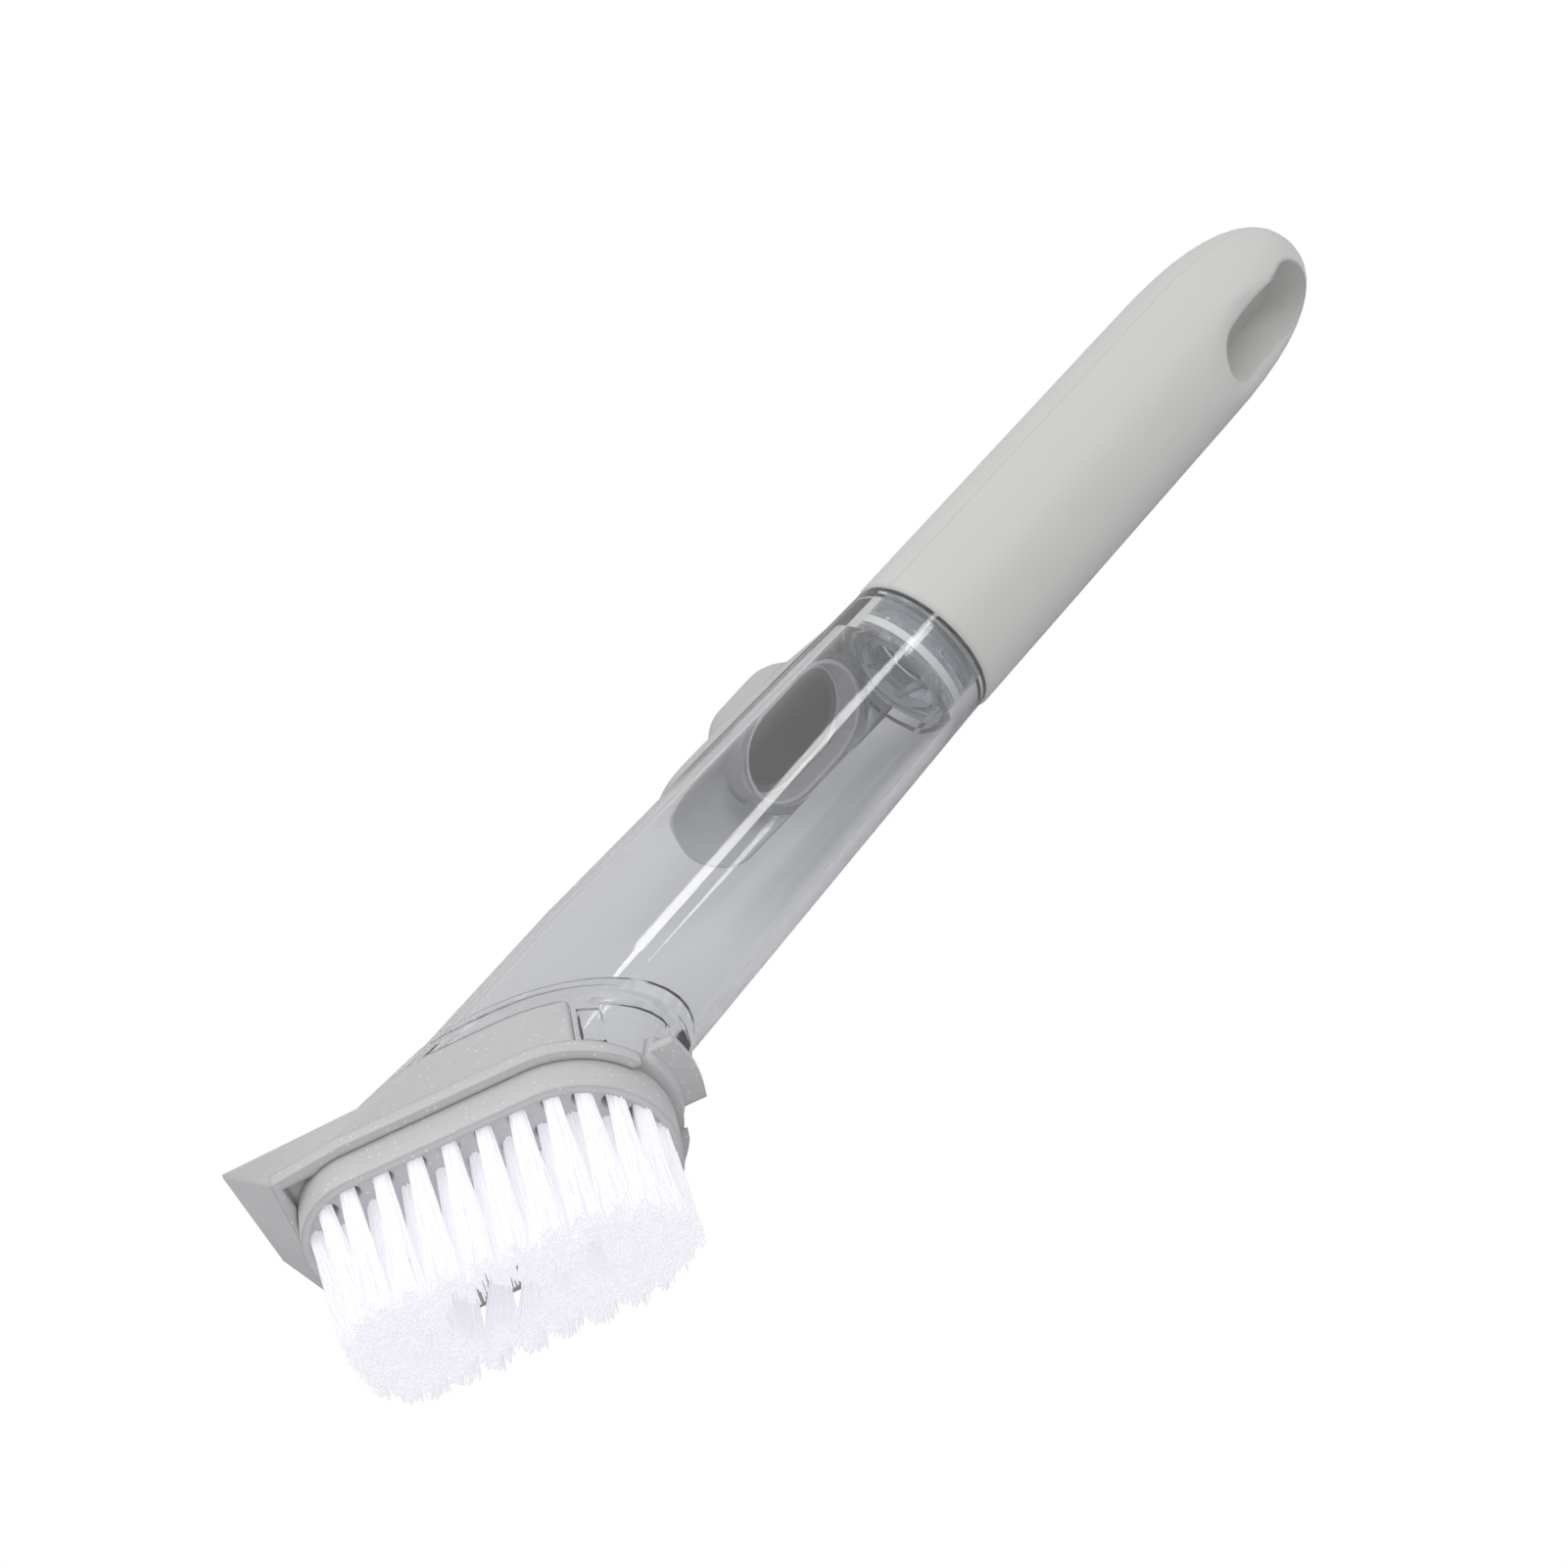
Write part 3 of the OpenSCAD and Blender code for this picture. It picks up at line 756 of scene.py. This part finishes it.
@dataclass(frozen=True)
class Thread:
    """The ridge that screws the plug into the neck. Lengths are in mm.

    Attributes:
        start: Where the thread begins along the barrel.
        pitch: Advance in one turn.
        root_r: Radius under the thread.
        crest_r: Radius of its crest.
        root_w: Width of the ridge at its root.
        crest_w: Width of its crest.
        play: Space before and behind the ridge.
        sunk: Depth of the ridge's foot in the plug.
        steps_per_turn: Sections of the ridge in one turn.
        fade_steps: Sections over which it rises at each end.
    """

    start: float = 137.1
    pitch: float = 2.5
    root_r: float = 9.25
    crest_r: float = 10.1
    root_w: float = 1.3
    crest_w: float = 0.5
    play: float = 0.1
    sunk: float = 0.2
    steps_per_turn: int = 72
    fade_steps: int = 12

    def build(self) -> bpy.types.Object:
        """Sweeps the ridge round the plug.

        Returns:
            The ridge, as a closed solid.
        """
        run = BARREL_LEN - self.start - self.root_w - 2 * self.play
        turns = run / self.pitch
        steps = int(turns * self.steps_per_turn)
        foot_r = self.root_r - self.sunk
        work = bmesh.new()
        sections = []
        for i in range(steps + 1):
            a = math.tau * turns * i / steps
            x = self.start + self.root_w / 2 + self.play + run * i / steps
            grown = min(1.0, (i + 1) / self.fade_steps, (steps - i + 1) / self.fade_steps)
            top_r = self.root_r + (self.crest_r - self.root_r) * grown
            corners = (
                (-self.root_w / 2, foot_r), (-self.crest_w / 2, top_r),
                (self.crest_w / 2, top_r), (self.root_w / 2, foot_r),
            )
            sections.append([
                work.verts.new(barrel_point(x + dx, r * math.sin(a), r * math.cos(a)))
                for dx, r in corners
            ])
        for near, far in zip(sections, sections[1:]):
            for i in range(4):
                j = (i + 1) % 4
                work.faces.new((near[i], near[j], far[j], far[i]))
        work.faces.new(sections[0])
        work.faces.new(sections[-1])
        return from_bmesh("neck_thread", work)


@dataclass(frozen=True)
class Rib:
    """A slanting rib on the wall of the plug's bore. Lengths are in mm, angles in radians.

    Attributes:
        setback: Distance of its front from the plug's.
        height: How far it stands into the bore.
        sunk: Depth of its foot in the wall and in the bore's end.
        slant: Angle that it turns by from front to back.
        top_half: Half of its width at the top, as an angle.
        foot_half: Half of its width at the foot, as an angle.
    """

    setback: float = 0.8
    height: float = 1.6
    sunk: float = 0.3
    slant: float = 0.45
    top_half: float = 0.05
    foot_half: float = 0.07

    def build(self, angle: float, front: float, back: float, bore_r: float) -> bpy.types.Object:
        """Makes the rib.

        Args:
            angle: Where it starts round the bore.
            front: Front end of the plug along the barrel.
            back: End of the bore.
            bore_r: Radius of the bore.

        Returns:
            The rib, as a closed solid.
        """
        work = bmesh.new()
        corners = []
        for x, swing in ((front + self.setback, 0.0), (back + self.sunk, self.slant)):
            for r, half in (
                (bore_r - self.height, self.top_half), (bore_r + self.sunk, self.foot_half),
            ):
                for side in (-half, half):
                    a = angle + swing + side
                    corners.append(
                        work.verts.new(barrel_point(x, r * math.sin(a), r * math.cos(a)))
                    )
        for face in (
            (0, 1, 3, 2), (4, 6, 7, 5), (0, 4, 5, 1), (2, 3, 7, 6), (0, 2, 6, 4), (1, 5, 7, 3),
        ):
            work.faces.new([corners[c] for c in face])
        return from_bmesh("neck_rib", work)


@dataclass(frozen=True)
class HandleCore:
    """The handle's core: a stiff body in the grip, and the clear plug that screws into the neck.

    Lengths are in mm.

    Attributes:
        front: Front end of the plug along the barrel.
        land_r: Radius of its sealing lands.
        groove: Start and end of the ring's groove.
        groove_r: Radius of the groove's floor.
        bore_r: Radius of the plug's bore.
        bore_end: Where the bore ends.
        chamfer: Size of the plug's front chamfers.
        split: Half of the gap between the plug and the body.
        ribs: Ribs in the bore.
        wall: Thickness of the wall that closes the body's front.
        hollow: Start and end of the stretch that holds the body's hollow.
        hollow_r: Radius that the hollow stays within.
        thread: The plug's thread.
        rib: The form of each rib.
    """

    front: float = 133.3
    land_r: float = 10.25
    groove: tuple[float, float] = (134.4, 136.0)
    groove_r: float = 9.25
    bore_r: float = 7.2
    bore_end: float = 139.6
    chamfer: float = 0.4
    split: float = 0.05
    ribs: int = 6
    wall: float = 1.0
    hollow: tuple[float, float] = (141.5, 209.0)
    hollow_r: float = 7.8
    thread: Thread = Thread()
    rib: Rib = Rib()

    def build(self, frame: dict, stiff: bpy.types.Material, clear: bpy.types.Material) -> None:
        """Builds both parts of the core in place of its CAD node.

        Args:
            stiff: Finish of the body.
            clear: Finish of the plug.
        """
        body = self._body(merged(frame["nodes"]["handle_core"]))
        paint(body, stiff)
        place_piece(body, "handle", Slot.INNER, "handle_core")
        plug = self._plug()
        paint(plug, clear)
        place_piece(plug, "handle", Slot.CLEAR, "handle_core")

    def _plug(self) -> bpy.types.Object:
        """Turns the plug, and adds its thread and the ribs in its bore."""
        lip = self.front + self.chamfer
        back = BARREL_LEN - self.split
        start, end = self.groove
        turned = lathe("neck_plug", [
            (self.bore_end, 0.0), (self.bore_end, self.bore_r), (lip, self.bore_r),
            (self.front, self.bore_r + self.chamfer), (self.front, self.land_r - self.chamfer),
            (lip, self.land_r), (start, self.land_r), (start, self.groove_r),
            (end, self.groove_r), (end, self.land_r), (self.thread.start, self.land_r),
            (self.thread.start, self.thread.root_r), (back, self.thread.root_r), (back, 0.0),
        ])
        ribs = [
            self.rib.build(math.tau * i / self.ribs, self.front, self.bore_end, self.bore_r)
            for i in range(self.ribs)
        ]
        return gathered("neck_plug", [turned, self.thread.build(), *ribs])

    def _body(self, work: bmesh.types.BMesh) -> bpy.types.Object:
        """Cuts the plug off the CAD core, and closes the front and the hollow behind it."""
        cut_across(work, BARREL_LEN + self.split, drop_front=True)
        rim = [edge for edge in work.edges if edge.is_boundary]
        for vert in {vert for edge in rim for vert in edge.verts}:
            if math.hypot(vert.co.y, vert.co.z) < self.hollow_r * MM:
                vert.co.x += self.wall * MM
        bmesh.ops.holes_fill(work, edges=rim)
        bmesh.ops.recalc_face_normals(work, faces=work.faces)
        bmesh.ops.reverse_faces(work, faces=[face for face in work.faces if self._inner(face)])
        return from_bmesh("handle_core_body", work, outward=True)

    def _inner(self, face: bmesh.types.BMFace) -> bool:
        """Tells whether a face lines the body's hollow."""
        middle = face.calc_center_median()
        x = middle.x / MM + HANG_X_MM
        inside = math.hypot(middle.y, middle.z) < self.hollow_r * MM
        return inside and self.hollow[0] < x < self.hollow[1]


# Inputs of the bristle tree, after its geometry.
BRISTLE_INPUTS = (
    ("Filaments", "NodeSocketInt"), ("Seed", "NodeSocketInt"),
    ("Root Radius", "NodeSocketFloat"), ("Tip Radius", "NodeSocketFloat"),
    ("Length", "NodeSocketFloat"), ("Length Spread", "NodeSocketFloat"),
    ("Crimp", "NodeSocketFloat"), ("Filament Radius", "NodeSocketFloat"),
    ("Along", "NodeSocketVector"), ("Across", "NodeSocketVector"),
    ("Axis", "NodeSocketVector"), ("Material", "NodeSocketMaterial"),
)


@dataclass(frozen=True)
class BristleField:
    """Nylon filaments of the tufts that one CAD node holds.

    Attributes:
        filaments: Filaments in a tuft.
        root_mm: Radius of a tuft where it leaves its hole.
        tip_mm: Radius of a tuft at its tips.
        growth: Power by which the radius grows from root to tip.
        length_mm: Free length of the longest filament.
        spread_mm: How much shorter the shortest filament is.
        crimp_mm: Sideways wave of a filament.
        wave: Angle in radians that the wave runs through along a filament.
        filament_mm: Radius of a filament.
        sides: Sides of a filament.
        points: Points along a filament.
        lean: How far the tips lie in towards the plate's middle line, as a share of the distance
            from it.
        arcs_mm: Middles of the toe's and the heel's arcs of tufts along the plate.
        toe_lean: The same share for the toe's arc, along the plate.
        heel_fan: Share that the heel's arc opens by.
        first_seed: Seed of the first node's tufts.
        seed_step: Distance from one node's seed to the next.
    """

    filaments: int = 92
    root_mm: float = 1.2
    tip_mm: float = 2.5
    growth: float = 1.1
    length_mm: float = 25.0
    spread_mm: float = 1.3
    crimp_mm: float = 0.3
    wave: float = 7.0
    filament_mm: float = 0.15
    sides: int = 5
    points: int = 6
    lean: float = 0.42
    arcs_mm: tuple[float, float] = (6.0, 35.7)
    toe_lean: float = 0.32
    heel_fan: float = 0.03
    first_seed: int = 3
    seed_step: int = 40

    def tree(self) -> bpy.types.NodeTree:
        """Builds the node tree that turns tuft roots into filaments.

        Returns:
            The geometry node tree.
        """
        tree = bpy.data.node_groups.new("bristle_field", "GeometryNodeTree")
        sockets = tree.interface
        sockets.new_socket("Geometry", in_out="INPUT", socket_type="NodeSocketGeometry")
        sockets.new_socket("Geometry", in_out="OUTPUT", socket_type="NodeSocketGeometry")
        for name, kind in BRISTLE_INPUTS:
            sockets.new_socket(name, in_out="INPUT", socket_type=kind)
        graph = Graph(tree)
        given = tree.nodes.new("NodeGroupInput").outputs
        moved = graph.add("GeometryNodeSetPosition", {
            "Geometry": self._strands(graph, given), "Position": self._path(graph, given),
        })
        circle = graph.add("GeometryNodeCurvePrimitiveCircle", {
            "Resolution": self.sides, "Radius": given["Filament Radius"],
        })
        tube = graph.add("GeometryNodeCurveToMesh", {
            "Curve": moved.outputs["Geometry"], "Profile Curve": circle.outputs["Curve"],
            "Fill Caps": True,
        })
        whole = graph.add("GeometryNodeRealizeInstances", {"Geometry": tube.outputs["Mesh"]})
        dressed = graph.add("GeometryNodeSetMaterial", {
            "Geometry": whole.outputs["Geometry"], "Material": given["Material"],
        })
        graph.link(dressed.outputs["Geometry"], tree.nodes.new("NodeGroupOutput").inputs[0])
        return tree

    def _strands(
        self, graph: Graph, given: bpy.types.bpy_prop_collection,
    ) -> bpy.types.NodeSocket:
        """Sets a straight curve on each filament's root, with its place in the tuft stored."""
        copies = graph.add("GeometryNodeDuplicateElements", {
            "Geometry": given["Geometry"], "Amount": given["Filaments"],
        }, domain="POINT")
        seeds = [graph.math("ADD", given["Seed"], float(i)) for i in range(4)]
        angle = graph.random(0.0, math.tau, seeds[0])
        radius = graph.math("SQRT", graph.random(0.0, 1.0, seeds[1]))
        along = graph.scaled(given["Along"], graph.math("COSINE", angle))
        across = graph.scaled(given["Across"], graph.math("SINE", angle))
        disc = graph.scaled(graph.vector("ADD", along, across), radius)
        shorter = graph.random(0.0, given["Length Spread"], seeds[2])
        reach = graph.math("SUBTRACT", given["Length"], shorter)
        phase = graph.random(0.0, math.tau, seeds[3])
        kept = copies.outputs["Geometry"]
        for name, kind, value in (
            ("disc", "FLOAT_VECTOR", disc), ("reach", "FLOAT", reach), ("phase", "FLOAT", phase),
        ):
            kept = graph.add("GeometryNodeStoreNamedAttribute", {
                "Geometry": kept, "Name": name, "Value": value,
            }, data_type=kind, domain="POINT").outputs["Geometry"]
        line = graph.add("GeometryNodeCurvePrimitiveLine", {"End": (0.0, 0.0, 1.0)})
        fine = graph.add("GeometryNodeResampleCurve", {
            "Curve": line.outputs["Curve"], "Count": self.points,
        })
        planted = graph.add("GeometryNodeInstanceOnPoints", {
            "Points": kept, "Instance": fine.outputs["Curve"],
        })
        return graph.add("GeometryNodeRealizeInstances", {
            "Geometry": planted.outputs["Instances"],
        }).outputs[0]

    def _path(self, graph: Graph, given: bpy.types.bpy_prop_collection) -> bpy.types.NodeSocket:
        """Works out where each point of a filament goes."""
        step = graph.add("GeometryNodeSplineParameter").outputs["Factor"]
        place = graph.add("GeometryNodeInputPosition").outputs["Position"]
        rise = graph.add("ShaderNodeCombineXYZ", {"Z": step}).outputs[0]
        root = graph.vector("SUBTRACT", place, rise)
        reach = graph.math("MULTIPLY", graph.named("reach", "FLOAT"), step)
        along = graph.scaled(given["Axis"], reach)
        opening = graph.math("SUBTRACT", given["Tip Radius"], given["Root Radius"])
        grown = graph.math("POWER", step, self.growth)
        radius = graph.math("MULTIPLY_ADD", grown, opening, given["Root Radius"])
        fan = graph.scaled(graph.named("disc", "FLOAT_VECTOR"), radius)
        turn = graph.math("MULTIPLY_ADD", step, self.wave, graph.named("phase", "FLOAT"))
        wave = graph.math("MULTIPLY", graph.math("SINE", turn), given["Crimp"])
        sideways = graph.vector("ADD", given["Along"], given["Across"])
        swing = graph.scaled(sideways, graph.math("MULTIPLY", wave, step))
        tilt = graph.scaled(graph.named("lean", "FLOAT_VECTOR"), step)
        straight = graph.vector("ADD", graph.vector("ADD", root, along), tilt)
        return graph.vector("ADD", straight, graph.vector("ADD", fan, swing))

    def grow(self, frame: dict, material: bpy.types.Material) -> None:
        """Replaces every tuft node of the frame by its filaments.

        Args:
            material: Material of the filaments.
        """
        tree = self.tree()
        values = {
            "Filaments": self.filaments,
            "Root Radius": self.root_mm * MM,
            "Tip Radius": self.tip_mm * MM,
            "Length": self.length_mm * MM,
            "Length Spread": self.spread_mm * MM,
            "Crimp": self.crimp_mm * MM,
            "Filament Radius": self.filament_mm * MM,
            "Along": head_step(1.0, 0.0, 0.0).normalized(),
            "Across": head_step(0.0, 1.0, 0.0).normalized(),
            "Axis": head_step(0.0, 0.0, -1.0).normalized(),
            "Material": material,
        }
        keys = {
            item.name: item.identifier for item in tree.interface.items_tree
            if item.item_type == "SOCKET" and item.in_out == "INPUT"
        }
        for number, node in enumerate(sorted(n for n in frame["nodes"] if "_tufts_" in n)):
            roots = tuft_roots(frame["nodes"][node])
            mesh = bpy.data.meshes.new(node + "_roots")
            mesh.from_pydata([tuple(p) for p in roots], [], [])
            leans = mesh.attributes.new("lean", "FLOAT_VECTOR", "POINT")
            for item, root in zip(leans.data, roots):
                item.vector = self._lean(root)
            source = new_object(node + "_roots", mesh)
            field_of = source.modifiers.new("bristle_field", "NODES")
            field_of.node_group = tree
            seed = self.seed_step * number + self.first_seed
            for name, value in {**values, "Seed": seed}.items():
                field_of[keys[name]] = value
            piece = baked(source, node.replace("_tufts_", "_bristles_"))
            LOG.info("%s: %d tufts", piece.name, len(roots))
            place_piece(piece, "brush", Slot.BRISTLE, node)

    def _lean(self, root: Vector) -> Vector:
        """Works out where the tips of one tuft lie, past the point that its root faces."""
        place = root - head_point(0.0, 0.0, 0.0)
        along, across = head_step(1.0, 0.0, 0.0), head_step(0.0, 1.0, 0.0)
        y = place.dot(across) / across.length_squared
        h = place.dot(along) / along.length_squared
        toe, heel = max(0.0, self.arcs_mm[0] - h), max(0.0, h - self.arcs_mm[1])
        return along * (toe * self.toe_lean + heel * self.heel_fan) - across * y * self.lean


# Length of a CAD tuft between its end in the plate and the filaments' roots.
TUFT_END_MM = 2.6
# How much lower a point of that end may be than its highest, along a step 1 mm long.
TUFT_END_LEVEL = 1e-8


def tuft_roots(obj: bpy.types.Object) -> list[Vector]:
    """Finds where each tuft of a CAD node leaves the plate.

    Args:
        obj: The CAD node.

    Returns:
        One root for each tuft, 1 mm inside its hole.
    """
    work = merged(obj)
    inward = head_step(0.0, 0.0, 1.0)
    roots, seen = [], set()
    for start in work.verts:
        if start in seen:
            continue
        island, queue = [], [start]
        seen.add(start)
        while queue:
            vert = queue.pop()
            island.append(vert.co.copy())
            for edge in vert.link_edges:
                other = edge.other_vert(vert)
                if other not in seen:
                    seen.add(other)
                    queue.append(other)
        top = max(point.dot(inward) for point in island)
        ring = [point for point in island if point.dot(inward) > top - TUFT_END_LEVEL]
        roots.append(sum(ring, Vector()) / len(ring))
    work.free()
    depth = TUFT_END_MM * MM
    return [root - inward.normalized() * depth for root in roots]


@dataclass(frozen=True)
class Lamp:
    """A rectangular area lamp.

    Attributes:
        name: Name of the lamp.
        place: Where it stands.
        size: Its length and width in metres.
        power: Its power in watts.
        along: Direction of its length.
    """

    name: str
    place: Point
    size: tuple[float, float]
    power: float
    along: Point = (0.0, 0.0, 1.0)

    def build(self, aim: Point) -> None:
        """Adds the lamp.

        Args:
            aim: What it looks at.
        """
        data = bpy.data.lights.new(self.name, "AREA")
        data.shape = "RECTANGLE"
        data.size, data.size_y = self.size
        data.energy = self.power
        lamp = bpy.data.objects.new(self.name, data)
        bpy.context.scene.collection.objects.link(lamp)
        back = (Vector(self.place) - Vector(aim)).normalized()
        side = Vector(self.along) - back * back.dot(Vector(self.along))
        side.normalize()
        turn = Matrix((side, back.cross(side), back)).transposed()
        lamp.matrix_world = Matrix.Translation(self.place) @ turn.to_4x4()


LAMPS = (
    Lamp("key", (-0.25, 0.35, 0.75), (0.5, 0.5), 1.6),
    Lamp("strip", (0.2925, -0.551, 0.727), (0.32, 0.14), 0.9, (0.231, 0.208, 0.066)),
    Lamp("fill", (-0.6, -0.5, 0.5), (0.6, 0.6), 0.8),
    Lamp("rim", (0.5, -0.3, 0.5), (0.4, 0.4), 0.5),
)


@dataclass(frozen=True)
class PhotoCamera:
    """The camera that was fitted to the photo.

    Attributes:
        focal_px: Focal length in pixels of the photo.
        image_px: Width of the photo in pixels.
        sensor_mm: Width of the sensor.
        place_mm: Where it stands, in the barrel frame.
        right: Direction of the photo's right side.
        down: Direction of its lower side.
        ahead: Direction that it looks in.
        clip: Nearest and farthest distance that it sees.
    """

    focal_px: float = 4660.7
    image_px: float = 1601.0
    sensor_mm: float = 36.0
    place_mm: Point = (-187.3, -435.46, -527.32)
    right: Point = (0.61662, -0.67505, -0.40507)
    down: Point = (-0.68146, -0.20003, -0.70399)
    ahead: Point = (0.39421, 0.71014, -0.58336)
    clip: tuple[float, float] = (0.01, 10.0)

    def build(self, scene: bpy.types.Scene) -> None:
        """Puts the camera where the photo was taken from.

        Args:
            scene: The scene that it becomes the camera of.
        """
        data = bpy.data.cameras.new("photo_camera")
        data.sensor_width = self.sensor_mm
        data.lens = self.focal_px / self.image_px * self.sensor_mm
        data.clip_start, data.clip_end = self.clip
        camera = bpy.data.objects.new("photo_camera", data)
        scene.collection.objects.link(camera)
        axes = (Vector(self.right), -Vector(self.down), -Vector(self.ahead))
        turn = Matrix(axes).transposed()
        camera.matrix_world = Matrix.Translation(barrel_point(*self.place_mm)) @ turn.to_4x4()
        scene.camera = camera


@dataclass(frozen=True)
class Stage:
    """Floor, backdrop, lamps and camera.

    Attributes:
        floor_z: Height of the floor in metres.
        floor_size: Length of its sides in metres.
        floor_color: Linear colour of the light that it throws back.
        daylight: Strength of the light from all sides.
        aim: What the lamps look at.
    """

    floor_z: float
    floor_size: float = 4.0
    floor_color: tuple[float, float, float] = (0.64, 0.64, 0.655)
    daylight: float = 0.6
    aim: Point = (-0.12, 0.0, 0.0)

    def build(self) -> None:
        """Sets the whole stage up."""
        scene = bpy.context.scene
        scene.view_settings.view_transform = "Standard"
        scene.view_settings.look = "None"
        self._world(scene)
        self._floor()
        for lamp in LAMPS:
            lamp.build(self.aim)
        PhotoCamera().build(scene)

    def _world(self, scene: bpy.types.Scene) -> None:
        """Makes a world that is white to the camera and softer for lighting."""
        world = bpy.data.worlds.new("studio")
        scene.world = world
        graph = self._cleared(world)
        light = graph.add("ShaderNodeBackground", {"Color": WHITE, "Strength": self.daylight})
        seen = graph.add("ShaderNodeBackground", {"Color": WHITE, "Strength": 1.0})
        self._shown(graph, light, seen, graph.add("ShaderNodeOutputWorld"))

    def _floor(self) -> None:
        """Lays a floor that the camera sees as white, and that lights the wand from below."""
        place = (0.0, 0.0, self.floor_z)
        bpy.ops.mesh.primitive_plane_add(size=self.floor_size, location=place)
        floor = bpy.context.object
        floor.name = "floor"
        material = bpy.data.materials.new("floor_look")
        graph = self._cleared(material)
        cloth = graph.add("ShaderNodeBsdfDiffuse", {"Color": (*self.floor_color, 1.0)})
        seen = graph.add("ShaderNodeEmission", {"Color": WHITE})
        self._shown(graph, cloth, seen, graph.add("ShaderNodeOutputMaterial"))
        floor.data.materials.append(material)
        floor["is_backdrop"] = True

    @staticmethod
    def _cleared(owner: bpy.types.World | bpy.types.Material) -> Graph:
        """Gives a world or a material an empty node tree."""
        owner.use_nodes = True
        owner.node_tree.nodes.clear()
        return Graph(owner.node_tree)

    @staticmethod
    def _shown(
        graph: Graph, real: bpy.types.Node, seen: bpy.types.Node, out: bpy.types.Node,
    ) -> None:
        """Shows one shader to the camera and another to every other ray."""
        rays = graph.add("ShaderNodeLightPath")
        mix = graph.add("ShaderNodeMixShader", {
            "Fac": rays.outputs["Is Camera Ray"], 1: real.outputs[0], 2: seen.outputs[0],
        })
        graph.link(mix.outputs["Shader"], out.inputs["Surface"])


def main() -> None:
    """Builds the whole scene around the frame."""
    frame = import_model()
    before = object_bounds()
    finisher = Finisher()
    finisher.paint_frame(frame)
    for piece in MOULDED:
        piece.build(frame, finisher.material(piece.slot))
    # The dome's hollow side takes a dark colour that is painted shade.
    ButtonSkin().build(frame, finisher.material(Slot.SOFT_GREY), PAINTED_DOME_SHADE.build())
    HandleCore().build(frame, finisher.material(Slot.INNER), PLUG.build())
    BristleField().grow(frame, finisher.material(Slot.BRISTLE))
    Stage(floor_z=before[0].z - FLOOR_GAP).build()


if __name__ == "__main__":
    main()
